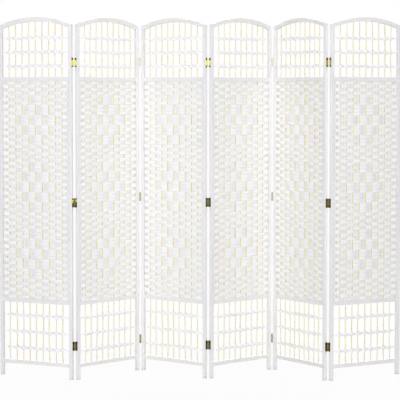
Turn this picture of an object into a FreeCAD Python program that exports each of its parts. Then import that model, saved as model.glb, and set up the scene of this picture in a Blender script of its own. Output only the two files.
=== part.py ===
import FreeCAD, Part
import math
import os
from FreeCAD import Placement, Rotation, Vector

# Folding room divider: six arched panels of paper weave on bamboo rods, joined by two-way hinges.
# Millimetres, +Z up, the front faces -Y, the origin is on the floor in the middle of the standing zigzag.

# Plan of the standing screen: how far each panel is turned from the X axis, in degrees
panel_turns = (-25.0, 45.0, -38.0, 41.5, -54.5, 29.0)

# Panel frame
panel_width = 394.0
corner_height = 1664.0
arch_rise = 36.0
arch_depth = 19.0
stile_width = 17.0
frame_thickness = 15.0
edge_round = 1.2

# Cross rails, with the height of each rail's underside above the floor
rail_depth = 19.0
rail_thickness = 12.0
bottom_rail_height = 58.0
lower_rail_height = 352.0
upper_rail_height = 1400.5

# Mortise and tenon joints of the frame
tenon_length = 8.0
tenon_thickness = 6.0
tenon_shoulder = 4.0
joint_clearance = 0.1

# Bamboo rods
rod_count = 9
rod_diameter = 4.5
rod_socket_depth = 8.0
rod_clearance = 0.1
edge_stake_offset = 4.5

# Woven mat between the lower and the upper rail
mat_thickness = 10.0
mat_side_clearance = 0.3

# Twined cord rows of the two open lattices, with the space below the first row,
# the space from row to row and the space above the last row
cord_thickness = 9.0
cord_depth_at_rod = 20.0
cord_depth_between = 9.0
cord_depth_at_stile = 5.0
cord_end_clearance = 0.3
cord_row_count = 3
cord_row_clearance = 3.0
upper_first_row = 52.0
upper_row_pitch = 66.5
upper_last_row = 48.0
lower_first_row = 57.5
lower_row_pitch = 78.0
lower_last_row = 61.5

# Two-way hinges: the lowest one above the floor, the top one below the stiles' ends,
# and how far the middle one lies above the point halfway between them
low_hinge_height = 159.0
top_hinge_drop = 163.0
middle_hinge_lift = 9.5

# On the second and fourth line each hinge is set higher than on the others by this much
even_line_low_lift = -6.0
even_line_middle_lift = 12.0
even_line_top_lift = 8.0

# Pieces of a hinge
fold_clearance = 0.6
pin_offset = 1.5
pin_radius = 1.2
pin_running_clearance = 0.05
pin_seat_clearance = 0.02
pin_cap_height = 6.0
pin_cap_dome = 2.0
barrel_radius = 4.0
barrel_height = 31.0
link_knuckle_height = 6.5
knuckle_gap = 0.2
barrel_clearance = 0.3
link_thickness = 1.2
leaf_thickness = 1.2
leaf_reach = 11.0

# Countersunk screws that hold a leaf in its stile, driven in from the back
screw_length = 12.0
screw_radius = 0.9
screw_head_radius = 1.8
screw_head_height = 1.2
screw_spacing = 8.0
screw_inset = 6.5
screw_clearance = 0.05
screw_point_length = 2.0

# Sizes that follow from the ones above
half_thickness = frame_thickness / 2
inner_left = stile_width
inner_right = panel_width - stile_width
inner_width = inner_right - inner_left
middle = panel_width / 2
apex_height = corner_height + arch_rise
arch_radius = (middle**2 + arch_rise**2) / (2 * arch_rise)
arch_centre = apex_height - arch_radius
arch_inner_radius = arch_radius - arch_depth
rod_radius = rod_diameter / 2
rod_pitch = inner_width / (rod_count + 1)
rod_bore_radius = rod_radius + rod_clearance
pin_spacing = frame_thickness + fold_clearance
leaf_knuckle_height = barrel_height - 2 * link_knuckle_height - 2 * knuckle_gap
groove_radius = barrel_radius + barrel_clearance
mat_bottom = lower_rail_height + rail_depth
mat_top = upper_rail_height
right_angle = 90.0


def arch_underside(across):
    """Height of the arch's underside at a distance across the panel."""
    return arch_centre + math.sqrt(arch_inner_radius**2 - (across - middle) ** 2)


stile_top = arch_underside(inner_left)
top_hinge_height = stile_top - top_hinge_drop
middle_hinge_height = (low_hinge_height + top_hinge_height) / 2 + middle_hinge_lift
rod_places = [inner_left + (number + 1) * rod_pitch for number in range(rod_count)]
stake_places = [inner_left + edge_stake_offset, inner_right - edge_stake_offset]


def hinge_heights(line):
    """Heights of the three hinges on a line, the lines counted from 1."""
    heights = [low_hinge_height, middle_hinge_height, top_hinge_height]
    if line % 2 == 0:
        lifts = (even_line_low_lift, even_line_middle_lift, even_line_top_lift)
        heights = [height + lift for height, lift in zip(heights, lifts)]
    return heights


def block(left, right, front, back, low, high):
    """A box between two limits along each axis."""
    return Part.makeBox(right - left, back - front, high - low, Vector(left, front, low))


def upright(radius, across, depth, low, high):
    """A vertical round bar."""
    return Part.makeCylinder(radius, high - low, Vector(across, depth, low))


def cut_away(solid, tools):
    """The solid with every tool taken out of it."""
    return solid.cut(tools) if tools else solid


def is_upright(edge):
    """Whether an edge runs straight up."""
    first, last = edge.Vertexes[0].Point, edge.Vertexes[-1].Point
    return abs(first.x - last.x) < 1e-6 and abs(first.y - last.y) < 1e-6


def runs_across(edge):
    """Whether an edge runs along the panel's width at one depth."""
    first, last = edge.Vertexes[0].Point, edge.Vertexes[-1].Point
    return abs(first.y - last.y) < 1e-6 and abs(first.x - last.x) > stile_width


# Frame pieces, in a panel's own plane: X across the panel, Y through it, Z up


def tenon(left, right, low, clearance=0.0):
    """A rail's flat tenon, or its mortise when a clearance is added."""
    half = tenon_thickness / 2 + clearance
    bottom = low + tenon_shoulder - clearance
    top = low + rail_depth - tenon_shoulder + clearance
    return block(left, right, -half, half, bottom, top)


def top_tenon(left, clearance=0.0):
    """The tenon on a stile's top end, or its mortise in the arch when a clearance is added."""
    half = tenon_thickness / 2 + clearance
    low = left + tenon_shoulder - clearance
    high = left + stile_width - tenon_shoulder + clearance
    return block(low, high, -half, half, stile_top, stile_top + tenon_length + clearance)


def screw_places(edge, side, height):
    """Distance across and height of the two screws of a hinge leaf."""
    across = edge - side * screw_inset
    half = screw_spacing / 2
    return [(across, height - half), (across, height + half)]


def hinge_recess(edge, side, height):
    """What a stile's outer edge loses to a hinge: the leaf's saw cut, the barrel's groove, screw holes."""
    half_width = leaf_thickness / 2 + joint_clearance
    half_height = leaf_knuckle_height / 2 + joint_clearance
    axis = edge + side * pin_offset
    low, high = sorted((edge - side * leaf_reach, axis))
    saw_cut = block(low, high, -half_width, half_width, height - half_height, height + half_height)
    groove_half = barrel_height / 2 + pin_cap_height + barrel_clearance
    groove = upright(groove_radius, axis, 0, height - groove_half, height + groove_half)
    tools = [saw_cut, groove]
    for across, level in screw_places(edge, side, height):
        tools.append(screw_form(across, level, screw_clearance))
    return tools


def screw_form(across, level, clearance=0.0):
    """A countersunk screw driven in from the back, or its hole when a clearance is added."""
    inward = Vector(0, -1, 0)
    radius = screw_radius + clearance
    start = Vector(across, half_thickness, level)
    head = Part.makeCone(screw_head_radius + clearance, radius, screw_head_height, start, inward)
    neck = start + inward * screw_head_height
    shank_length = screw_length - screw_head_height - screw_point_length
    shank = Part.makeCylinder(radius, shank_length, neck, inward)
    tip = Part.makeCone(radius, 0, screw_point_length, neck + inward * shank_length, inward)
    return head.fuse([shank, tip]).removeSplitter()


def stile(left, side, line):
    """One upright of the frame; side is the way its outer edge faces, line its hinge line or None."""
    post = block(left, left + stile_width, -half_thickness, half_thickness, 0, stile_top)
    post = post.makeFillet(edge_round, [edge for edge in post.Edges if is_upright(edge)])
    post = post.fuse(top_tenon(left)).removeSplitter()
    inner = left if side > 0 else left + stile_width
    deep = inner + side * (tenon_length + joint_clearance)
    low, high = sorted((inner, deep))
    rails = (bottom_rail_height, lower_rail_height, upper_rail_height)
    tools = [tenon(low, high, height, joint_clearance) for height in rails]
    if line is not None:
        edge = left + stile_width if side > 0 else left
        for height in hinge_heights(line):
            tools += hinge_recess(edge, side, height)
    return cut_away(post, tools)


def arched_rail():
    """The bowed top rail, which sits on both stile ends."""
    outer_left = Vector(0, -half_thickness, corner_height)
    outer_right = Vector(panel_width, -half_thickness, corner_height)
    foot_left = Vector(0, -half_thickness, stile_top)
    foot_right = Vector(panel_width, -half_thickness, stile_top)
    inside_left = Vector(inner_left, -half_thickness, stile_top)
    inside_right = Vector(inner_right, -half_thickness, stile_top)
    crown = Vector(middle, -half_thickness, apex_height)
    under_crown = Vector(middle, -half_thickness, apex_height - arch_depth)
    outline = Part.Wire(
        [
            Part.LineSegment(foot_left, outer_left).toShape(),
            Part.Arc(outer_left, crown, outer_right).toShape(),
            Part.LineSegment(outer_right, foot_right).toShape(),
            Part.LineSegment(foot_right, inside_right).toShape(),
            Part.Arc(inside_right, under_crown, inside_left).toShape(),
            Part.LineSegment(inside_left, foot_left).toShape(),
        ]
    )
    bow = Part.Face(outline).extrude(Vector(0, frame_thickness, 0))
    bow = bow.makeFillet(edge_round, [edge for edge in bow.Edges if runs_across(edge)])
    tools = [top_tenon(left, joint_clearance) for left in (0, inner_right)]
    for across in rod_places:
        top = arch_underside(across) + rod_socket_depth + rod_clearance
        tools.append(upright(rod_bore_radius, across, 0, stile_top, top))
    return cut_away(bow, tools)


def cross_rail(low, sockets):
    """A straight rail with a tenon at each end; sockets are (places, bottom, top) of its vertical bores."""
    half = rail_thickness / 2
    bar = block(inner_left, inner_right, -half, half, low, low + rail_depth)
    bar = bar.makeFillet(edge_round, [edge for edge in bar.Edges if runs_across(edge)])
    bar = bar.fuse(
        [
            tenon(inner_left - tenon_length, inner_left, low),
            tenon(inner_right, inner_right + tenon_length, low),
        ]
    ).removeSplitter()
    tools = []
    for places, bottom, top in sockets:
        tools += [upright(rod_bore_radius, across, 0, bottom, top) for across in places]
    return cut_away(bar, tools)


def cross_rails():
    """The bottom rail, the lower rail and the upper rail."""
    deep = rod_socket_depth + rod_clearance
    bottom_top = bottom_rail_height + rail_depth
    lower_top = lower_rail_height + rail_depth
    upper_top = upper_rail_height + rail_depth
    return [
        cross_rail(bottom_rail_height, [(rod_places, bottom_top - deep, bottom_top)]),
        cross_rail(
            lower_rail_height,
            [(rod_places, lower_rail_height, lower_top), (stake_places, lower_top - deep, lower_top)],
        ),
        cross_rail(
            upper_rail_height,
            [(rod_places, upper_rail_height, upper_top), (stake_places, mat_top, mat_top + deep)],
        ),
    ]


# Rods, weave and lattice cords


def rods():
    """Bamboo rods from the bottom rail to the arch, and the short stakes along the mat's two edges."""
    low = bottom_rail_height + rail_depth - rod_socket_depth
    bars = []
    for across in rod_places:
        high = arch_underside(across) + rod_socket_depth
        bars.append(upright(rod_radius, across, 0, low, high))
    stake_low = mat_bottom - rod_socket_depth
    stake_high = mat_top + rod_socket_depth
    return bars + [upright(rod_radius, across, 0, stake_low, stake_high) for across in stake_places]


def woven_mat():
    """The closed body of the weave, with the rods' bores through it."""
    half = mat_thickness / 2
    left = inner_left + mat_side_clearance
    right = inner_right - mat_side_clearance
    slab = block(left, right, -half, half, mat_bottom, mat_top)
    places = rod_places + stake_places
    bores = [upright(rod_bore_radius, across, 0, mat_bottom, mat_top) for across in places]
    return cut_away(slab, bores)


def cord_row(height):
    """One row of twined cord: it swells over every rod and narrows between them."""
    left = inner_left + cord_end_clearance
    right = inner_right - cord_end_clearance
    waists = [rod_places[0] + (number + 0.5) * rod_pitch for number in range(-1, rod_count)]
    front = -cord_thickness / 2

    def point(across, depth_of_cord, side):
        return Vector(across, front, height + side * depth_of_cord / 2)

    def bulges(side):
        edges = []
        for across, before, after in zip(rod_places, waists, waists[1:]):
            start = point(before, cord_depth_between, side)
            swell = point(across, cord_depth_at_rod, side)
            end = point(after, cord_depth_between, side)
            edges.append(Part.Arc(start, swell, end).toShape())
        return edges

    def end_line(first, last, first_depth, last_depth, side):
        return Part.LineSegment(point(first, first_depth, side), point(last, last_depth, side)).toShape()

    edges = bulges(1) + bulges(-1)
    for side in (1, -1):
        edges.append(end_line(left, waists[0], cord_depth_at_stile, cord_depth_between, side))
        edges.append(end_line(waists[-1], right, cord_depth_between, cord_depth_at_stile, side))
    for across in (left, right):
        top = point(across, cord_depth_at_stile, 1)
        bottom = point(across, cord_depth_at_stile, -1)
        edges.append(Part.LineSegment(top, bottom).toShape())
    outline = Part.Wire(Part.__sortEdges__(edges))
    row = Part.Face(outline).extrude(Vector(0, cord_thickness, 0))
    reach = cord_depth_at_rod
    bores = [upright(rod_bore_radius, across, 0, height - reach, height + reach) for across in rod_places]
    return cut_away(row, bores)


def row_heights(low, high, first, pitch, last):
    """Heights of the cord rows, spread over an opening, with a row fewer where they would touch."""
    room = high - low
    least_pitch = cord_depth_at_rod + cord_row_clearance
    fitting = int(1 + room / least_pitch - (first + last) / pitch)
    rows = max(1, min(cord_row_count, fitting))
    spread = room / (first + (rows - 1) * pitch + last)
    return [low + spread * (first + number * pitch) for number in range(rows)]


def lattice_cords():
    """The cord rows of the upper and the lower lattice."""
    upper_low = upper_rail_height + rail_depth
    lower_low = bottom_rail_height + rail_depth
    heights = row_heights(upper_low, stile_top, upper_first_row, upper_row_pitch, upper_last_row)
    heights += row_heights(lower_low, lower_rail_height, lower_first_row, lower_row_pitch, lower_last_row)
    return [cord_row(height) for height in heights]


# Hinge pieces


def hinge_leaf(edge, side, height):
    """The plate let into a saw cut of a stile, with its middle knuckle and two screw holes."""
    axis = edge + side * pin_offset
    low, high = sorted((edge - side * leaf_reach, axis))
    half_plate = leaf_thickness / 2
    half = leaf_knuckle_height / 2
    plate = block(low, high, -half_plate, half_plate, height - half, height + half)
    knuckle = upright(barrel_radius, axis, 0, height - half, height + half)
    leaf = plate.fuse(knuckle).removeSplitter()
    tools = [upright(pin_radius + pin_running_clearance, axis, 0, height - half, height + half)]
    for across, level in screw_places(edge, side, height):
        tools.append(screw_form(across, level, screw_clearance))
    return cut_away(leaf, tools)


def hinge_link(height):
    """The plate between two pins, as tall as they are, with a knuckle above and below each leaf's."""
    half = barrel_height / 2
    full = half + pin_cap_height
    inner = half - link_knuckle_height
    half_plate = link_thickness / 2
    web = block(0, pin_spacing, -half_plate, half_plate, height - full, height + full)
    notch_half = leaf_knuckle_height / 2 + knuckle_gap
    bore_radius = pin_radius + pin_seat_clearance
    notches = []
    knuckles = []
    bores = []
    for across in (0, pin_spacing):
        notches.append(upright(groove_radius, across, 0, height - notch_half, height + notch_half))
        notches.append(upright(groove_radius, across, 0, height + half, height + full))
        notches.append(upright(groove_radius, across, 0, height - full, height - half))
        knuckles.append(upright(barrel_radius, across, 0, height + inner, height + half))
        knuckles.append(upright(barrel_radius, across, 0, height - half, height - inner))
        bores.append(upright(bore_radius, across, 0, height - half, height + half))
    link = web.cut(notches).fuse(knuckles).removeSplitter()
    return cut_away(link, bores)


def hinge_pin(across, height):
    """A pin with a domed cap at each end."""
    half = barrel_height / 2
    shoulder = height + half + pin_cap_height - pin_cap_dome
    dome_radius = (barrel_radius**2 + pin_cap_dome**2) / (2 * pin_cap_dome)
    ball = Part.makeSphere(dome_radius, Vector(across, 0, shoulder + pin_cap_dome - dome_radius))
    reach = 2 * dome_radius
    above = block(across - reach, across + reach, -reach, reach, shoulder, shoulder + reach)
    collar = upright(barrel_radius, across, 0, height + half, shoulder)
    top_cap = collar.fuse(ball.common(above)).removeSplitter()
    bottom_cap = top_cap.mirror(Vector(across, 0, height), Vector(0, 0, 1))
    shank = upright(pin_radius, across, 0, height - half, height + half)
    return shank.fuse([top_cap, bottom_cap]).removeSplitter()


# Placing: the panels stand in a chain, and each link turns halfway between its two panels


def along(turn, distance):
    """A step on the floor in the direction of a turn."""
    angle = math.radians(turn)
    return Vector(distance * math.cos(angle), distance * math.sin(angle), 0)


def floor_plan():
    """The left foot of every panel and the first pin of every link, centred on the origin."""
    panels = []
    links = []
    pin = Vector(0, 0, 0)
    for number, turn in enumerate(panel_turns):
        panels.append(pin + along(turn, pin_offset))
        last_pin = pin + along(turn, panel_width + 2 * pin_offset)
        if number + 1 < len(panel_turns):
            link_turn = (turn + panel_turns[number + 1]) / 2
            links.append((last_pin, link_turn))
            pin = last_pin + along(link_turn, pin_spacing)
    corners = []
    for start, turn in zip(panels, panel_turns):
        for across in (0, panel_width):
            for depth in (-half_thickness, half_thickness):
                corners.append(start + along(turn, across) + along(turn + right_angle, depth))
    centre_x = (min(c.x for c in corners) + max(c.x for c in corners)) / 2
    centre_y = (min(c.y for c in corners) + max(c.y for c in corners)) / 2
    shift = Vector(centre_x, centre_y, 0)
    return [start - shift for start in panels], [(first - shift, turn) for first, turn in links]


def placed(solids, start, turn):
    """Copies of the solids, turned about the vertical and moved to their place on the floor."""
    place = Placement(start, Rotation(Vector(0, 0, 1), turn))
    copies = []
    for solid in solids:
        copy = solid.copy()
        copy.Placement = place.multiply(copy.Placement)
        copies.append(copy)
    return copies


def save(name, solids):
    """Write one named piece, or one group of like pieces."""
    shape = solids[0] if len(solids) == 1 else Part.makeCompound(solids)
    shape.exportStep("parts/" + name + ".step")


def hinge_lines(number):
    """The hinge lines at a panel's left and right edge, None where it has none."""
    left = number - 1 if number > 1 else None
    right = number if number < len(panel_turns) else None
    return left, right


def panel_pieces(number):
    """Every piece of one panel, by name."""
    left_line, right_line = hinge_lines(number)
    leaves = []
    screws = []
    for edge, side, line in ((0, -1, left_line), (panel_width, 1, right_line)):
        heights = [] if line is None else hinge_heights(line)
        for height in heights:
            leaves.append(hinge_leaf(edge, side, height))
            for across, level in screw_places(edge, side, height):
                screws.append(screw_form(across, level))
    return {
        "stiles": [stile(0, -1, left_line), stile(inner_right, 1, right_line)],
        "hinge_leaves": leaves,
        "hinge_screws": screws,
    }


def build():
    """Make every piece and write it where it stands."""
    os.makedirs("parts", exist_ok=True)
    panel_starts, link_starts = floor_plan()
    shared = {
        "arched_rail": [arched_rail()],
        "cross_rails": cross_rails(),
        "rods": rods(),
        "woven_mat": [woven_mat()],
        "lattice_cords": lattice_cords(),
    }
    for index, (start, turn) in enumerate(zip(panel_starts, panel_turns)):
        number = index + 1
        pieces = dict(shared, **panel_pieces(number))
        for name, solids in pieces.items():
            save(f"panel_{number}_{name}", placed(solids, start, turn))
    for index, (start, turn) in enumerate(link_starts):
        number = index + 1
        heights = hinge_heights(number)
        links = [hinge_link(height) for height in heights]
        pins = [hinge_pin(across, height) for across in (0, pin_spacing) for height in heights]
        line = f"hinge_{number}_{number + 1}"
        save(line + "_links", placed(links, start, turn))
        save(line + "_pins", placed(pins, start, turn))


build()
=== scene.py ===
import bpy
import math
import numpy as np
from mathutils import Matrix, Vector


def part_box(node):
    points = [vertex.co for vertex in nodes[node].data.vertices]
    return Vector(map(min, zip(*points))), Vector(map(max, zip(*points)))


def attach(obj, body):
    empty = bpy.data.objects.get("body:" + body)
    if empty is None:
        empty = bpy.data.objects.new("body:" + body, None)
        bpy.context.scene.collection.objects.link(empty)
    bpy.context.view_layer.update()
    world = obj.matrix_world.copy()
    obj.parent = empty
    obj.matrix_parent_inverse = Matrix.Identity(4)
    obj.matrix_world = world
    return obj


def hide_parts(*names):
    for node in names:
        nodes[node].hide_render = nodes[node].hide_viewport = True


# Folding room divider: the looks
# Sizes of the screen are in millimetres, in each panel's own plane: X across from its left edge, Y through it
# with the front at -Y, Z up from the floor. The pieces are turned into metres when they are placed.
# Floor, lamps and camera are in metres.

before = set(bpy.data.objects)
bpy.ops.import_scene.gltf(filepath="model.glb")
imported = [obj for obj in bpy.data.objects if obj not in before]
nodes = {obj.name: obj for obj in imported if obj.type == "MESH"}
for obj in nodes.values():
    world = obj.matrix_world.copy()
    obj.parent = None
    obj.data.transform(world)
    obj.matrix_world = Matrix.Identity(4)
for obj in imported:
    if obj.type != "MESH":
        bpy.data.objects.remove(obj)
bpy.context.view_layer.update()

MM = 0.001
random_seed = 41
rng = np.random.default_rng(random_seed)

# Plan of the zigzag, in degrees from the X axis
panel_turns = (-25.0, 45.0, -38.0, 41.5, -54.5, 29.0)

# Panel frame
panel_width = 394.0
stile_width = 17.0
apex_height = 1700.0
arch_rise = 36.0
arch_depth = 19.0
bottom_rail_top = 77.0
lower_rail_bottom = 352.0
lower_rail_top = 371.0
upper_rail_bottom = 1400.5
upper_rail_top = 1419.5
rail_clearance = 0.15
stile_clearance = 0.2

# Bamboo rods; a waver is a number of random knots and how far they stray
rod_count = 9
rod_radius = 2.3
rod_sizes = (0.94, 1.08)
rod_waver = (12, 0.025)
rod_flatness = 0.8
rod_socket = 8.0
rod_sides = 10
rod_ring_pitch = 24.0
stake_offset = 4.5

# Sway of the rods between two rails: a bow to one side, a jog to both sides, and the share of them that goes
# through the panel
lattice_bow = 1.5
lattice_jog = 0.7
weave_bow = 0.5
weave_jog = 0.2
sway_through = 0.25

# Swollen joints of the bamboo
joint_spacing = (150.0, 240.0)
joint_margin = 20.0
joint_reach = 3.0
joint_rings = (-2.0, -0.4, 0.0, 0.4, 2.0)
joint_clearance = 7.5
joint_near = 1.8
joint_crest = 0.1
joint_swell = 0.45
shoulder_swell = 0.55
shoulder_mark = 0.4

# Paper strips of the weave
strip_count = 65
strip_height = 15.75
strip_height_waver = (13, 0.12)
strip_level_error = 0.15
strip_level_waver = (8, 0.3)
strip_lean_waver = (12, 0.25)
strip_thickness = 1.1
strip_depth = 2.2
strip_end_depth = 4.0
strip_dip = 0.2
strip_crown = 0.3
strip_crown_level = 0.7
strip_gather = 0.03
strip_crinkle = 0.09
strip_crinkle_waves = (2.6, 4.2)
strip_crinkle_waver = (10, 1.2)
strip_end_swell = 0.5
strip_steps = 5
wrap_slack = 0.3
wrap_angles = (30.0, 60.0, 90.0)
section_levels = (-0.93, -0.5, 0.0, 0.5, 0.93)
section_squareness = 12

# Pattern of the weave from the top down: plain rows with diamonds between them. Each block of a diamond shows
# some rods and covers others, given by their numbers.
plain_rows = (4, 5, 5, 6)
diamond_rows = 15
strips_per_block = 3
shown_rods = ((4, 6), (3, 5, 7), (2, 4, 6, 8), (3, 5, 7), (4, 6))
covered_rods = ((5,), (4, 6), (3, 5, 7), (4, 6), (5,))

# Twined cord rows of the lattices
upper_rows = (1470.9, 1536.7, 1602.5)
lower_rows = (134.5, 212.5, 290.5)
cord_height_at_rod = 20.0
cord_height_between = 6.0
cord_height_at_left = 1.6
cord_height_at_right = 3.6
cord_thickness_at_rod = 1.7
cord_thickness_between = 4.2
cord_sizes = (0.84, 1.1)
cord_twist = 2.1
cord_wander = 1.1
cord_wander_knots = 9
cord_hold = 2.5
cord_flattening = 2.4
cord_taper = 0.3
cord_slack = 0.4
cord_end_gap = 0.4
cord_least_depth = 0.12
cord_least_twist = 0.2
cord_curl = 0.9
cord_curl_level = 0.5
cord_crinkle = 0.35
cord_crinkle_waves = 6.5
cord_crinkle_waver = (14, 1.0)
cord_pinch = 0.12
cord_pinch_lobes = 3
cord_pinch_turns = 1.5
cord_steps = 12
cord_sides = 14

# Hinges
plate_half_width = 3.6
plate_softness = 0.6
dark_end = 9.0
end_softness = 1.0
least_hinge_gap = 200.0

# Surface map of the tubes: each tube is a row, with its wall on the left and its two end caps on the right
row_share = 0.94
wall_share = 0.95
cap_place = 0.98
cap_levels = (0.25, 0.75)
cap_reach = 0.01
cap_row_share = 0.2

# Places that follow from the sizes
inner_left = stile_width
inner_right = panel_width - stile_width
middle = panel_width / 2
rod_pitch = (inner_right - inner_left) / (rod_count + 1)
rod_places = [inner_left + (number + 1) * rod_pitch for number in range(rod_count)]
stake_places = [inner_left + stake_offset, inner_right - stake_offset]
crossings = np.array([stake_places[0]] + rod_places + [stake_places[1]])
arch_radius = (middle**2 + arch_rise**2) / (2 * arch_rise)
strip_pitch = (upper_rail_bottom - lower_rail_top) / strip_count


def arch_underside(across):
    """Height of the arch's underside at a distance across the panel."""
    radius = arch_radius - arch_depth
    return apex_height - arch_radius + math.sqrt(radius**2 - (across - middle) ** 2)


# Meshes made of closed tubes


def round_angles(sides):
    """Even angles all the way round."""
    return 2 * math.pi * np.arange(sides) / sides


def lofted(name, tubes, values=None):
    """One mesh of closed tubes, given as rings of points, with a surface map and values on its points."""
    points, faces, corners = [], [], []
    start = 0
    tall = row_share / len(tubes)
    reach = min(cap_reach, tall * cap_row_share)
    for row, tube in enumerate(tubes):
        rings, sides = tube.shape[:2]
        points.append(tube.reshape(-1, 3))
        low = row / len(tubes)
        for ring in range(rings - 1):
            first = start + ring * sides
            second = first + sides
            left = wall_share * ring / (rings - 1)
            right = wall_share * (ring + 1) / (rings - 1)
            for side in range(sides):
                after = (side + 1) % sides
                faces.append((first + side, second + side, second + after, first + after))
                bottom = low + tall * side / sides
                top = low + tall * (side + 1) / sides
                corners += [(left, bottom), (right, bottom), (right, top), (left, top)]
        angles = round_angles(sides)
        for ring, level, step in ((0, cap_levels[0], 1), (rings - 1, cap_levels[1], -1)):
            order = range(sides)[::step]
            faces.append(tuple(start + ring * sides + side for side in order))
            centre = low + tall * level
            for side in order:
                across = cap_place + reach * math.cos(angles[side])
                corners.append((across, centre + reach * math.sin(angles[side])))
        start += rings * sides
    mesh = bpy.data.meshes.new(name)
    mesh.from_pydata((np.concatenate(points) * MM).tolist(), [], faces)
    layer = mesh.uv_layers.new(name="OFBake")
    layer.data.foreach_set("uv", np.array(corners, dtype=np.float32).ravel())
    mesh.polygons.foreach_set("use_smooth", np.ones(len(mesh.polygons), dtype=bool))
    for title, parts in (values or {}).items():
        layer = mesh.attributes.new(title, "FLOAT", "POINT")
        layer.data.foreach_set("value", np.concatenate(parts).astype(np.float32))
    mesh.update()
    return mesh


def smooth_noise(count, knot_count, amount):
    """A slowly wandering value: random knots joined by a smooth curve."""
    knots = rng.normal(0.0, amount, knot_count)
    places = np.linspace(0, knot_count - 1, count)
    index = np.minimum(places.astype(int), knot_count - 2)
    part = places - index
    part = part * part * (3 - 2 * part)
    return knots[index] * (1 - part) + knots[index + 1] * part


def path_tube(across, through, level, height, offset, up, swell=1.0):
    """A tube along a path in plan: its section stands off the path and reaches up and down from its level."""
    run = np.stack([np.gradient(across), np.gradient(through)], axis=1)
    run /= np.linalg.norm(run, axis=1, keepdims=True)
    normal = np.stack([-run[:, 1], run[:, 0]], axis=1)
    tube = np.zeros((*offset.shape, 3))
    tube[:, :, 0] = across[:, None] + normal[:, 0:1] * offset * swell
    tube[:, :, 1] = through[:, None] + normal[:, 1:2] * offset * swell
    tube[:, :, 2] = level[:, None] + height[:, None] / 2 * up * swell
    tube[:, :, 0] = np.clip(tube[:, :, 0], inner_left + stile_clearance, inner_right - stile_clearance)
    return tube


# Bamboo rods


def rod_tube(across, low, high, sways):
    """A slim bamboo stick, held where it enters the rails, and marks on its points for its swollen joints."""
    joints = []
    place = low + rng.uniform(joint_margin, joint_spacing[1])
    while place < high - joint_margin:
        joints.append(place)
        place += rng.uniform(*joint_spacing)
    heights = list(np.arange(low, high, rod_ring_pitch)) + [high]
    for joint in joints:
        heights = [height for height in heights if abs(height - joint) > joint_clearance]
        heights += [joint + ring * joint_reach for ring in joint_rings]
    heights = np.array(sorted(heights))
    shift = np.zeros((len(heights), 2))
    for bottom, top, (bow_size, jog_size) in sways:
        inside = (heights > bottom) & (heights < top)
        part = (heights[inside] - bottom) / (top - bottom)
        for axis, share in enumerate((1.0, sway_through)):
            bow = rng.normal(0.0, bow_size) * np.sin(math.pi * part)
            jog = rng.normal(0.0, jog_size) * np.sin(2 * math.pi * part)
            shift[inside, axis] += (bow + jog) * share
    radius = rod_radius * rng.uniform(*rod_sizes) * np.ones(len(heights))
    radius *= 1 + smooth_noise(len(heights), *rod_waver)
    marks = np.zeros(len(heights))
    for joint in joints:
        near = np.abs(heights - joint) < joint_near
        crest = np.abs(heights[near] - joint) < joint_crest
        radius[near] += joint_swell * np.where(crest, 1.0, shoulder_swell)
        marks[near] = np.where(crest, 1.0, shoulder_mark)
    angle = round_angles(rod_sides)
    tube = np.zeros((len(heights), rod_sides, 3))
    tube[:, :, 0] = across + shift[:, 0:1] + radius[:, None] * np.cos(angle)
    tube[:, :, 1] = shift[:, 1:2] + rod_flatness * radius[:, None] * np.sin(angle)
    tube[:, :, 2] = heights[:, None]
    return tube, np.repeat(marks, rod_sides)


def bamboo_mesh(name):
    """The long rods and the two stakes of a panel; the stakes are marked for their white wash, greyed with
    painted shade.
    """
    lattice_sway = (lattice_bow, lattice_jog)
    rod_sways = (
        (bottom_rail_top, lower_rail_bottom, lattice_sway),
        (lower_rail_top, upper_rail_bottom, (weave_bow, weave_jog)),
        (upper_rail_top, apex_height - arch_depth - arch_rise, lattice_sway),
    )
    sticks = []
    for across in rod_places:
        sticks.append((across, bottom_rail_top, arch_underside(across), rod_sways, 0.0))
    for across in stake_places:
        sticks.append((across, lower_rail_top, upper_rail_bottom, (), 1.0))
    tubes, marks, washes = [], [], []
    for across, bottom, top, sways, wash in sticks:
        tube, mark = rod_tube(across, bottom - rod_socket, top + rod_socket, sways)
        tubes.append(tube)
        marks.append(mark)
        washes.append(np.full(len(mark), wash))
    return lofted(name, tubes, {"joint_ring": marks, "whitewash_and_shade": washes})


# Weave

# A strip's section, from its lower edge up the front and down the back, in shares of its half height and half
# thickness; it thins towards its edges
section_height = np.array([-1.0, *section_levels, 1.0, *section_levels[::-1]])
section_face = np.array([0.0] + [-1.0] * len(section_levels) + [0.0] + [1.0] * len(section_levels))
section_full = np.sqrt(1 - section_height**section_squareness)


def strip_sides():
    """For every strip from the top down, whether it passes in front of each stake and rod."""
    blocks = []
    for number, count in enumerate(plain_rows):
        blocks += [None] * count
        if number < len(plain_rows) - 1:
            blocks += [row // strips_per_block for row in range(diamond_rows)]
    front = np.zeros((strip_count, len(crossings)), dtype=bool)
    for row, block in enumerate(blocks):
        for place in range(len(crossings)):
            front[row, place] = (row + place) % 2 == 1
        if block is not None:
            front[row, list(shown_rods[block])] = False
            front[row, list(covered_rods[block])] = True
    return front


def stake_wrap(stake, depth, side, angles):
    """Points of a strip's fold round the outer side of a stake."""
    wrap = rod_radius + strip_thickness / 2 + wrap_slack
    points = []
    for angle in angles:
        turn = math.radians(angle)
        points.append((stake + side * wrap * math.sin(turn), depth * math.sqrt(abs(math.cos(turn)))))
    return points


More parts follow.
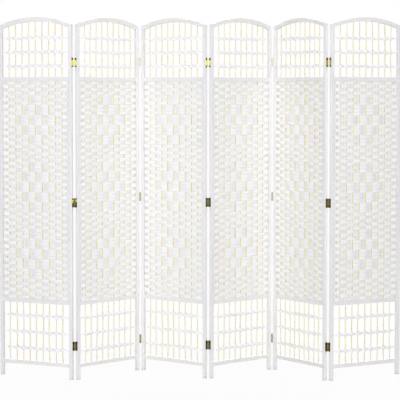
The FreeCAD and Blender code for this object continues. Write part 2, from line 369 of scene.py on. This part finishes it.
def strip_path(front):
    """Where a strip runs in plan: round the first stake, before or behind every rod, round the last stake."""
    depth = np.where(front, -strip_depth, strip_depth)
    depth[[0, -1]] *= strip_end_depth / strip_depth
    points = stake_wrap(crossings[0], depth[0], -1.0, wrap_angles[::-1])
    for number in range(len(crossings) - 1):
        here, there = depth[number], depth[number + 1]
        gap = crossings[number + 1] - crossings[number]
        for step in range(strip_steps):
            part = step / strip_steps
            if here == there:
                through = here * (1 - strip_dip * math.sin(math.pi * part))
            else:
                through = here * math.cos(math.pi * part)
            points.append((crossings[number] + part * gap, through))
    points.append((crossings[-1], depth[-1]))
    points += stake_wrap(crossings[-1], depth[-1], 1.0, wrap_angles)
    return np.array(points).T


def strip_tube(row, front):
    """One crinkled paper strip."""
    across, through = strip_path(front)
    count = len(across)
    lift = through / strip_depth
    height = strip_height * (1 - strip_gather * lift**2) + smooth_noise(count, *strip_height_waver)
    from_end = np.minimum(across - crossings[0], crossings[-1] - across) / rod_pitch
    end_share = np.clip(1 - 2 * np.abs(from_end), 0, 1)
    height *= 1 + strip_end_swell * np.clip(-lift, 0, 1) * end_share
    level = upper_rail_bottom - (row + 0.5) * strip_pitch + rng.normal(0.0, strip_level_error)
    level = level + smooth_noise(count, *strip_level_waver)
    lean = smooth_noise(count, *strip_lean_waver)
    phase = rng.uniform(0, 2 * math.pi) + smooth_noise(count, *strip_crinkle_waver)
    waves = rng.uniform(*strip_crinkle_waves)
    up = section_height[None, :]
    offset = strip_thickness / 2 * section_face[None, :] * section_full[None, :]
    offset = offset + strip_crown * lift[:, None] * (strip_crown_level - up**2)
    offset = offset + strip_crinkle * np.sin(waves * up * math.pi / 2 + phase[:, None])
    offset = offset + lean[:, None] * up
    tube = path_tube(across, through, level, height, offset, up)
    low = lower_rail_top + rail_clearance
    high = upper_rail_bottom - rail_clearance
    tube[:, :, 2] = np.clip(tube[:, :, 2], low, high)
    return tube


def weave_mesh(name):
    """All the strips of one panel."""
    sides = strip_sides()
    return lofted(name, [strip_tube(row, sides[row]) for row in range(strip_count)])


# Twined cords


def cord_tube(row_level, strand):
    """One strand of a twined pair: flat over every second rod, bunched where it crosses its partner."""
    steps = cord_steps * (rod_count + 1)
    across = np.linspace(inner_left + cord_end_gap, inner_right - cord_end_gap, steps + 1)
    count = len(across)
    turn = math.pi * (across - rod_places[0]) / rod_pitch + math.pi * strand
    before = np.maximum(rod_places[0] - across, 0) / rod_pitch
    after = np.maximum(across - rod_places[-1], 0) / rod_pitch
    beyond = before + after
    held = (1 - beyond) ** cord_hold
    spread = np.abs(np.cos(turn)) ** cord_flattening * held
    nearest = np.clip(np.round((across - rod_places[0]) / rod_pitch).astype(int), 0, rod_count - 1)
    size = rng.uniform(*cord_sizes, rod_count)[nearest]
    rise = rng.normal(0.0, cord_wander, rod_count)[nearest]
    tail = np.where(before > 0, cord_height_at_left, cord_height_at_right)
    between = tail + (cord_height_between - tail) * (1 - beyond) ** 2
    height = between + (cord_height_at_rod * size - between) * spread
    thick = cord_thickness_between + (cord_thickness_at_rod - cord_thickness_between) * spread
    thick = thick * (1 - cord_taper * beyond)
    reach = rod_flatness * rod_radius + cord_thickness_at_rod / 2 + cord_slack
    through = -reach * np.cos(turn) * np.maximum(held, cord_least_depth)
    level = row_level - cord_twist * np.sin(turn) * np.maximum(held, cord_least_twist) + rise * spread
    level = level + smooth_noise(count, cord_wander_knots, cord_wander)
    angle = round_angles(cord_sides)[None, :]
    up = np.sin(angle)
    flat = spread[:, None]
    offset = thick[:, None] / 2 * np.cos(angle)
    offset = offset - cord_curl * np.cos(turn)[:, None] * flat * (cord_curl_level - up**2)
    phase = rng.uniform(0, 2 * math.pi) + smooth_noise(count, *cord_crinkle_waver)
    offset = offset + cord_crinkle * flat * np.sin(cord_crinkle_waves * up + phase[:, None])
    pinch = cord_pinch * (1 - flat) * np.sin(cord_pinch_lobes * angle + cord_pinch_turns * turn[:, None])
    return path_tube(across, through, level, height, offset, up, 1 + pinch)


def cords_mesh(name):
    """The six twined rows of a panel, two strands each."""
    return lofted(name, [cord_tube(level, strand) for level in upper_rows + lower_rows for strand in (0, 1)])


# Noise patterns of the finishes: how fine, how close along X, Y and Z, and how many layers of detail
upright_grain = (60.0, (1.0, 1.0, 0.06), 5.0)
level_grain = (60.0, (0.06, 1.0, 1.0), 5.0)
paint_cloud = (7.0, (1.0, 1.0, 1.0), 3.0)
foot_patches = (160.0, (1.0, 1.0, 0.6), 5.0)
bamboo_streak = (420.0, (1.0, 1.0, 0.012), 5.0)
bamboo_patch = (14.0, (1.0, 1.0, 0.5), 3.0)
strip_fibre = (520.0, (0.035, 1.0, 1.0), 6.0)
cord_fibre = (520.0, (0.05, 1.0, 1.0), 6.0)
paper_crease = (150.0, (0.16, 1.0, 1.0), 4.0)
paper_cloud = (24.0, (0.5, 1.0, 1.0), 3.0)
metal_stain = (190.0, (1.0, 1.0, 1.0), 5.0)
metal_scratch = (900.0, (1.0, 1.0, 0.06), 3.0)
pattern_span = (0.3, 0.7)
stain_span = (0.25, 0.75)

# Roughness at both ends of a pattern, and relief as its strength and its depth in metres
paint_roughness = (0.5, 0.36)
bamboo_roughness = (0.52, 0.34)
paper_roughness = (0.85, 0.62)
brass_roughness = (0.34, 0.5)
screw_roughness = (0.3, 0.45)
pin_roughness = (0.32, 0.5)
paper_gloss = 0.3
paint_relief = (0.25, 0.0004)
bamboo_relief = (0.35, 0.0003)
strip_relief = (0.22, 0.0005)
cord_relief = (0.3, 0.0005)
metal_relief = (0.12, 0.0002)

# Colours of paint, bamboo and paper; tones are colours along a pattern, at places from 0 to 1
plain = (1.0, 1.0, 1.0)
paint_grain_tones = ((0.3, (0.803, 0.797, 0.804)), (0.7, (0.853, 0.847, 0.854)))
paint_cloud_tones = ((0.35, (0.97, 0.966, 0.98)), (0.7, (1.0, 0.996, 0.992)))
# Darker patches at the very bottom of the feet
dark_foot = (0.42, 0.39, 0.36)
dark_foot_height = 14.0
dark_foot_share = 0.55
bamboo_streak_tones = (
    (0.25, (0.7, 0.6, 0.255)),
    (0.5, (0.83, 0.745, 0.4)),
    (0.75, (0.91, 0.845, 0.54)),
)
bamboo_patch_tones = ((0.3, (0.92, 0.9, 0.84)), (0.7, plain))
# Painted shade on the rods inside the weave, and how sharply it starts at the rails
weave_painted_shade = (0.955, 0.945, 0.72)
weave_shade_edge = 0.002
joint_brown = (0.44, 0.3, 0.12)
joint_brown_share = 0.5
# White wash of the stakes, greyed with painted shade
whitewash_and_shade = (0.74, 0.73, 0.73)
wash_and_shade_share = 0.62
strip_tones = ((0.28, (0.856, 0.85, 0.868)), (0.62, (0.894, 0.889, 0.908)))
cord_tones = ((0.28, (0.88, 0.872, 0.892)), (0.62, (0.945, 0.938, 0.956)))
paper_cloud_tones = ((0.3, (0.972, 0.972, 0.976)), (0.68, plain))

# Colours of the metals; stops are colours along the height, at shares of the screen's height.
# Dark low down and bright high up, they are painted shade and painted reflection.
metal_stain_tones = ((0.32, (0.84, 0.82, 0.78)), (0.66, plain))
# Colour that darkens both ends of the barrels
barrel_end_dark = (0.08, 0.06, 0.03)
bright_brass = (0.58, 0.535, 0.052)
dim_brass = (0.27, 0.2, 0.015)
first_bright_brass = (0.85, 0.79, 0.06)
shaded_brass_low = (0.055, 0.036, 0.005)
shaded_brass_high = (0.075, 0.057, 0.009)
shaded_from = 0.2
within_middle_hinge = 0.49
above_middle_hinge = 0.65
brightening = 0.006
fully_bright = 0.8
plate_stops = (
    (0.2, (0.12, 0.1, 0.05)),
    (0.49, (0.066, 0.06, 0.026)),
    (0.8, (0.27, 0.27, 0.22)),
)
# Paler plates of the far hinge lines: a painted highlight
far_plate_highlight_stops = (
    (0.2, (0.2, 0.18, 0.11)),
    (0.49, (0.2, 0.2, 0.12)),
    (0.8, (0.26, 0.26, 0.17)),
)
screw_stops = (
    (0.2, (0.1, 0.07, 0.02)),
    (0.49, (0.28, 0.23, 0.07)),
    (0.8, (0.54, 0.46, 0.14)),
)
pin_stops = (
    (0.2, (0.016, 0.011, 0.003)),
    (0.5, (0.024, 0.015, 0.003)),
    (0.8, (0.05, 0.03, 0.003)),
)
brass_edge = (0.75, 0.66, 0.3)
pin_edge = (0.12, 0.08, 0.02)
brass_blotch = 0.004
screw_blotch = 0.02
pin_blotch = 0.05


# Materials


def new_material(name):
    """A node material, its tree, its surface shader and its texture coordinates."""
    material = bpy.data.materials.new(name)
    material.use_nodes = True
    tree = material.node_tree
    surface = tree.nodes["Principled BSDF"]
    place = tree.nodes.new("ShaderNodeTexCoord")
    return material, tree, surface, place.outputs["Object"]


def noise(tree, place, pattern, turn=0.0):
    """A noise pattern; the turn is about the vertical."""
    scale, stretch, detail = pattern
    mapping = tree.nodes.new("ShaderNodeMapping")
    mapping.inputs["Scale"].default_value = stretch
    mapping.inputs["Rotation"].default_value = (0.0, 0.0, turn)
    tree.links.new(place, mapping.inputs["Vector"])
    texture = tree.nodes.new("ShaderNodeTexNoise")
    texture.inputs["Scale"].default_value = scale
    texture.inputs["Detail"].default_value = detail
    tree.links.new(mapping.outputs["Vector"], texture.inputs["Vector"])
    return texture.outputs["Fac"]


def ramp(tree, value, stops):
    """Colours along a value from 0 to 1."""
    node = tree.nodes.new("ShaderNodeValToRGB")
    elements = node.color_ramp.elements
    while len(elements) < len(stops):
        elements.new(0.5)
    for element, (position, colour) in zip(elements, stops):
        element.position = position
        element.color = (*colour, 1.0)
    tree.links.new(value, node.inputs["Fac"])
    return node.outputs["Color"]


def remap(tree, value, span, new_span):
    """A value moved from one span to another."""
    node = tree.nodes.new("ShaderNodeMapRange")
    for title, number in zip(("From Min", "From Max", "To Min", "To Max"), (*span, *new_span)):
        node.inputs[title].default_value = number
    tree.links.new(value, node.inputs["Value"])
    return node.outputs["Result"]


def maths(tree, operation, first, second):
    """Two values worked into one."""
    node = tree.nodes.new("ShaderNodeMath")
    node.operation = operation
    tree.links.new(first, node.inputs[0])
    tree.links.new(second, node.inputs[1])
    return node.outputs["Value"]


def vector_maths(tree, operation, vector, constant=None):
    """A node that works on a vector, with a fixed second vector where it needs one."""
    node = tree.nodes.new("ShaderNodeVectorMath")
    node.operation = operation
    tree.links.new(vector, node.inputs[0])
    if constant is not None:
        node.inputs[1].default_value = constant
    return node


def height_of(tree, place):
    """The height above the floor, in metres."""
    node = tree.nodes.new("ShaderNodeSeparateXYZ")
    tree.links.new(place, node.inputs["Vector"])
    return node.outputs["Z"]


def level_of(tree, place):
    """The height as a share of the screen's height."""
    return remap(tree, height_of(tree, place), (0.0, apex_height * MM), (0.0, 1.0))


def stored(tree, name):
    """A value stored on the points of a mesh."""
    node = tree.nodes.new("ShaderNodeAttribute")
    node.attribute_name = name
    return node.outputs["Fac"]


def blend_colours(tree, amount, first, second, mode="MIX"):
    """Two colours mixed by an amount, a socket or a number; the second is a socket or a colour."""
    node = tree.nodes.new("ShaderNodeMix")
    node.data_type = "RGBA"
    node.blend_type = mode
    if isinstance(amount, float):
        node.inputs["Factor"].default_value = amount
    else:
        tree.links.new(amount, node.inputs["Factor"])
    tree.links.new(first, node.inputs["A"])
    if isinstance(second, tuple):
        node.inputs["B"].default_value = (*second, 1.0)
    else:
        tree.links.new(second, node.inputs["B"])
    return node.outputs["Result"]


def stained(tree, colour, stain):
    """A colour darkened by another one."""
    return blend_colours(tree, 1.0, colour, stain, "MULTIPLY")


def bump(tree, surface, height, relief):
    """Fine relief on a surface."""
    strength, distance = relief
    node = tree.nodes.new("ShaderNodeBump")
    node.inputs["Strength"].default_value = strength
    node.inputs["Distance"].default_value = distance
    tree.links.new(height, node.inputs["Height"])
    tree.links.new(node.outputs["Normal"], surface.inputs["Normal"])


def paint(name, grain_pattern, turn):
    """White satin paint on wood: faint grain and brush marks, darker in patches at the very bottom of the
    feet.
    """
    material, tree, surface, place = new_material(name)
    grain = noise(tree, place, grain_pattern, turn)
    cloud = noise(tree, place, paint_cloud)
    patches = noise(tree, place, foot_patches)
    colour = ramp(tree, grain, paint_grain_tones)
    colour = stained(tree, colour, ramp(tree, cloud, paint_cloud_tones))
    # Darker in patches towards the very bottom of the feet
    foot = remap(tree, height_of(tree, place), (0.0, dark_foot_height * MM), (dark_foot_share, 0.0))
    colour = blend_colours(tree, maths(tree, "MULTIPLY", foot, patches), colour, dark_foot)
    tree.links.new(colour, surface.inputs["Base Color"])
    tree.links.new(remap(tree, grain, pattern_span, paint_roughness), surface.inputs["Roughness"])
    bump(tree, surface, grain, paint_relief)
    return material


def bamboo(name):
    """Split bamboo: straw yellow with long streaks and darker joints, and painted shade inside the weave; the
    stakes are washed with white that is greyed with painted shade.
    """
    material, tree, surface, place = new_material(name)
    streak = noise(tree, place, bamboo_streak)
    patch = noise(tree, place, bamboo_patch)
    colour = ramp(tree, streak, bamboo_streak_tones)
    colour = stained(tree, colour, ramp(tree, patch, bamboo_patch_tones))
    # Inside the weave the rods are darkened with painted shade
    bottom, top = lower_rail_top / apex_height, upper_rail_bottom / apex_height
    weave_shade_stops = (
        (bottom - weave_shade_edge, plain),
        (bottom, weave_painted_shade),
        (top, weave_painted_shade),
        (top + weave_shade_edge, plain),
    )
    colour = stained(tree, colour, ramp(tree, level_of(tree, place), weave_shade_stops))
    browned = remap(tree, stored(tree, "joint_ring"), (0.0, 1.0), (0.0, joint_brown_share))
    colour = blend_colours(tree, browned, colour, joint_brown)
    # The stakes' white wash, greyed with painted shade
    washed_and_shaded = remap(tree, stored(tree, "whitewash_and_shade"), (0.0, 1.0), (0.0, wash_and_shade_share))
    colour = blend_colours(tree, washed_and_shaded, colour, whitewash_and_shade)
    tree.links.new(colour, surface.inputs["Base Color"])
    tree.links.new(remap(tree, streak, pattern_span, bamboo_roughness), surface.inputs["Roughness"])
    bump(tree, surface, streak, bamboo_relief)
    return material


def paper(name, fibre_pattern, fibre_tones, relief):
    """Crinkled white paper with fibres along the strip."""
    material, tree, surface, place = new_material(name)
    fibre = noise(tree, place, fibre_pattern)
    crease = noise(tree, place, paper_crease)
    cloud = noise(tree, place, paper_cloud)
    colour = ramp(tree, fibre, fibre_tones)
    colour = stained(tree, colour, ramp(tree, cloud, paper_cloud_tones))
    tree.links.new(colour, surface.inputs["Base Color"])
    tree.links.new(remap(tree, crease, pattern_span, paper_roughness), surface.inputs["Roughness"])
    surface.inputs["Specular IOR Level"].default_value = paper_gloss
    bump(tree, surface, maths(tree, "ADD", fibre, crease), relief)
    return material


def barrel_share(tree, place, centre):
    """0 on the plate between two barrels and 1 on the barrels, by the distance in plan from their middle."""
    moved = vector_maths(tree, "SUBTRACT", place, (centre.x, centre.y, 0.0))
    flat = vector_maths(tree, "MULTIPLY", moved.outputs["Vector"], (1.0, 1.0, 0.0))
    reach = vector_maths(tree, "LENGTH", flat.outputs["Vector"])
    span = (plate_half_width * MM, (plate_half_width + plate_softness) * MM)
    return remap(tree, reach.outputs["Value"], span, (0.0, 1.0))


def hinge_spans(node):
    """The lowest and highest level of each hinge on a line, read from its separate link plates."""
    spans = []
    for level in sorted(vertex.co.z for vertex in nodes[node].data.vertices):
        if not spans or level - spans[-1][1] > least_hinge_gap * MM:
            spans.append([level, level])
        spans[-1][1] = level
    return spans


def end_stops(spans):
    """Stops along the height that darken both ends of every hinge on a line."""
    dark, soft = dark_end / apex_height, end_softness / apex_height
    stops = []
    for low, high in spans:
        start, stop = low / MM / apex_height, high / MM / apex_height
        stops += [(start + dark - soft, barrel_end_dark), (start + dark, plain)]
        stops += [(stop - dark, plain), (stop - dark + soft, barrel_end_dark)]
    return stops


def brass_stops(bright_from, first_bright, bright):
    """Brass along the height: dark with painted shade up to a level and bright with painted reflection above
    it.
    """
    return (
        (shaded_from, shaded_brass_low),
        (bright_from, shaded_brass_high),
        (bright_from + brightening, first_bright),
        (fully_bright, bright),
    )


def metal(name, stops, rough, blotch, edge, flat_stops=None, line=None):
    """Metal whose colour follows its height as painted shade and painted reflection, with blotches and fine
    scratches.

    The edge is the colour of its glancing reflections. On a hinge line, flat stops are the colours of the
    plates between its barrels, and the barrels are dark at their ends.
    """
    material, tree, surface, place = new_material(name)
    stain = noise(tree, place, metal_stain)
    scratch = noise(tree, place, metal_scratch)
    level = level_of(tree, place)
    blotched = maths(tree, "ADD", level, remap(tree, stain, stain_span, (-blotch, blotch)))
    colour = ramp(tree, blotched, stops)
    if line is not None:
        low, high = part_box(line + "_pins")
        colour = stained(tree, colour, ramp(tree, level, end_stops(hinge_spans(line + "_links"))))
        plate = ramp(tree, blotched, flat_stops)
        colour = blend_colours(tree, barrel_share(tree, place, (low + high) / 2), plate, colour)
    colour = stained(tree, colour, ramp(tree, stain, metal_stain_tones))
    tree.links.new(colour, surface.inputs["Base Color"])
    surface.inputs["Metallic"].default_value = 1.0
    surface.inputs["Specular Tint"].default_value = (*edge, 1.0)
    tree.links.new(remap(tree, scratch, pattern_span, rough), surface.inputs["Roughness"])
    bump(tree, surface, scratch, metal_relief)
    return material


upright_paint = paint("paint_upright", upright_grain, 0.0)
straw = bamboo("bamboo_straw")
weave_paper = paper("paper_strip", strip_fibre, strip_tones, strip_relief)
cord_paper = paper("paper_cord", cord_fibre, cord_tones, cord_relief)
screw_brass = metal("screw_brass", screw_stops, screw_roughness, screw_blotch, brass_edge)
pin_metal = metal("pin_bronze", pin_stops, pin_roughness, pin_blotch, pin_edge)

# Brass of the five hinge lines, from panels 1 and 2 to panels 5 and 6; how bright each line is along its
# height is painted shade and painted reflection
half_bright = brass_stops(within_middle_hinge, first_bright_brass, bright_brass)
top_bright = brass_stops(above_middle_hinge, bright_brass, bright_brass)
top_dim = brass_stops(above_middle_hinge, dim_brass, dim_brass)
line_brass = (half_bright, top_bright, top_bright, top_bright, top_dim)


# Pieces


def dress(node, material):
    """Give a frame node its finish."""
    slots = nodes[node].material_slots
    if len(slots) == 0:
        nodes[node].data.materials.append(material)
    for entry in slots:
        entry.material = material


def placed(name, make_mesh, material, place, body, replaced):
    """Make a piece of a panel, put it in its place, let it ride on the panel and stand for a frame node."""
    mesh = make_mesh(name)
    mesh.materials.append(material)
    piece = bpy.data.objects.new(name, mesh)
    bpy.context.scene.collection.objects.link(piece)
    piece.matrix_world = place
    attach(piece, body)
    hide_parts(replaced)


# Name, mesh, finish, frame node and slot of the pieces that are made for every panel
woven_pieces = (
    ("_bamboo", bamboo_mesh, straw, "_rods", "bamboo"),
    ("_weave", weave_mesh, weave_paper, "_woven_mat", "paper_weave"),
    ("_twined_cords", cords_mesh, cord_paper, "_lattice_cords", "paper_cord"),
)

for number, turn in enumerate(panel_turns, start=1):
    panel = f"panel_{number}"
    low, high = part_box(panel + "_arched_rail")
    centre = (low + high) / 2
    turned = Matrix.Rotation(math.radians(turn), 4, "Z")
    left_foot = Vector((centre.x, centre.y, 0.0)) - turned @ Vector((middle * MM, 0.0, 0.0))
    place = Matrix.Translation(left_foot) @ turned
    rail_paint = paint(f"paint_rails_{number}", level_grain, -math.radians(turn))
    dress(panel + "_stiles", upright_paint)
    dress(panel + "_arched_rail", rail_paint)
    dress(panel + "_cross_rails", rail_paint)
    # The leaves have the brass of the panel's line in front: the first, the third or the fifth
    near_brass = line_brass[(number - 1) // 2 * 2]
    leaf_brass = metal(f"leaf_brass_{number}", near_brass, brass_roughness, brass_blotch, brass_edge)
    dress(panel + "_hinge_leaves", leaf_brass)
    dress(panel + "_hinge_screws", screw_brass)
    for title, make_mesh, material, node, slot_name in woven_pieces:
        placed(panel + title, make_mesh, material, place, panel, panel + node)
    if number < len(panel_turns):
        line = f"hinge_{number}_{number + 1}"
        # The far lines get plates paled with a painted highlight
        flat_stops = far_plate_highlight_stops if number % 2 == 0 else plate_stops
        link_brass = metal(
            f"link_brass_{number}",
            line_brass[number - 1],
            brass_roughness,
            brass_blotch,
            brass_edge,
            flat_stops,
            line,
        )
        dress(line + "_links", link_brass)
        dress(line + "_pins", pin_metal)


# Floor, light and camera

floor_size = 60.0
floor_bounce = (0.76, 0.755, 0.72)
floor_shade = (0.95, 0.95, 0.95)
shadow_reach = (0.6, 1.7)
shadow_share = 0.08
sky_tint = (0.97, 0.985, 1.0)
sky_strength = 0.11
lamp_aim = (0.0, 0.0, 0.9)
cool_white = (0.985, 0.985, 1.0)
camera_place = (0.0006, -7.7118, 1.319)
camera_tilt = 2.7
camera_lens = 146.248
camera_sensor = 36.0
camera_shift = -0.0619
camera_sight = 200.0


def mix_shaders(tree, amount, first, second):
    """Two shaders mixed by an amount."""
    node = tree.nodes.new("ShaderNodeMixShader")
    tree.links.new(amount, node.inputs["Fac"])
    tree.links.new(first, node.inputs[1])
    tree.links.new(second, node.inputs[2])
    return node.outputs["Shader"]


def dull_shader(tree, colour):
    """An even dull surface of one colour."""
    node = tree.nodes.new("ShaderNodeBsdfDiffuse")
    node.inputs["Color"].default_value = (*colour, 1.0)
    return node.outputs["BSDF"]


def direct_look(tree):
    """1 for what the camera sees straight, in a reflection or through something."""
    path = tree.nodes.new("ShaderNodeLightPath")
    total = path.outputs["Is Camera Ray"]
    for name in ("Is Glossy Ray", "Is Transmission Ray"):
        total = maths(tree, "MAXIMUM", total, path.outputs[name])
    return total


def floor():
    """A pale floor that turns to plain white away from the screen and keeps its soft shadow."""
    bpy.ops.mesh.primitive_plane_add(size=floor_size, location=(0.0, 0.0, 0.0))
    plane = bpy.context.object
    plane.name = "floor"
    material, tree, surface, place = new_material("floor_pale")
    tree.nodes.remove(surface)
    white = tree.nodes.new("ShaderNodeEmission")
    white.inputs["Strength"].default_value = 1.0
    reach = vector_maths(tree, "LENGTH", place)
    near = remap(tree, reach.outputs["Value"], shadow_reach, (shadow_share, 0.0))
    seen = mix_shaders(tree, near, white.outputs["Emission"], dull_shader(tree, floor_shade))
    final = mix_shaders(tree, direct_look(tree), dull_shader(tree, floor_bounce), seen)
    tree.links.new(final, tree.nodes["Material Output"].inputs["Surface"])
    plane.data.materials.append(material)


def sky():
    """White all round for the camera, and an even soft light for the object."""
    world = bpy.data.worlds.new("studio")
    world.use_nodes = True
    bpy.context.scene.world = world
    tree = world.node_tree
    lit = tree.nodes["Background"]
    lit.inputs["Color"].default_value = (*sky_tint, 1.0)
    lit.inputs["Strength"].default_value = sky_strength
    seen = tree.nodes.new("ShaderNodeBackground")
    seen.inputs["Color"].default_value = (*plain, 1.0)
    seen.inputs["Strength"].default_value = 1.0
    final = mix_shaders(tree, direct_look(tree), lit.outputs["Background"], seen.outputs["Background"])
    tree.links.new(final, tree.nodes["World Output"].inputs["Surface"])


def softbox(name, place, width, height, power, colour):
    """A large soft lamp that looks at the middle of the screen."""
    lamp = bpy.data.lights.new(name, "AREA")
    lamp.shape = "RECTANGLE"
    lamp.size = width
    lamp.size_y = height
    lamp.energy = power
    lamp.color = colour
    holder = bpy.data.objects.new(name, lamp)
    bpy.context.scene.collection.objects.link(holder)
    holder.location = place
    holder.rotation_euler = (Vector(lamp_aim) - Vector(place)).to_track_quat("-Z", "Y").to_euler()


floor()
sky()
softbox("front_softbox", (-0.15, -7.0, 1.81), width=5.5, height=3.65, power=427.0, colour=cool_white)
softbox("top_softbox", (0.2, -0.9, 3.9), width=3.2, height=1.6, power=24.0, colour=plain)
softbox("back_softbox", (0.0, 6.8, 3.4), width=4.5, height=2.7, power=430.0, colour=cool_white)

camera_data = bpy.data.cameras.new("camera")
camera_data.sensor_width = camera_sensor
camera_data.lens = camera_lens
camera_data.shift_y = camera_shift
camera_data.clip_end = camera_sight
camera = bpy.data.objects.new("camera", camera_data)
bpy.context.scene.collection.objects.link(camera)
camera.location = camera_place
camera.rotation_euler = (math.radians(90.0 - camera_tilt), 0.0, 0.0)
bpy.context.scene.camera = camera
bpy.context.scene.view_settings.view_transform = "Standard"
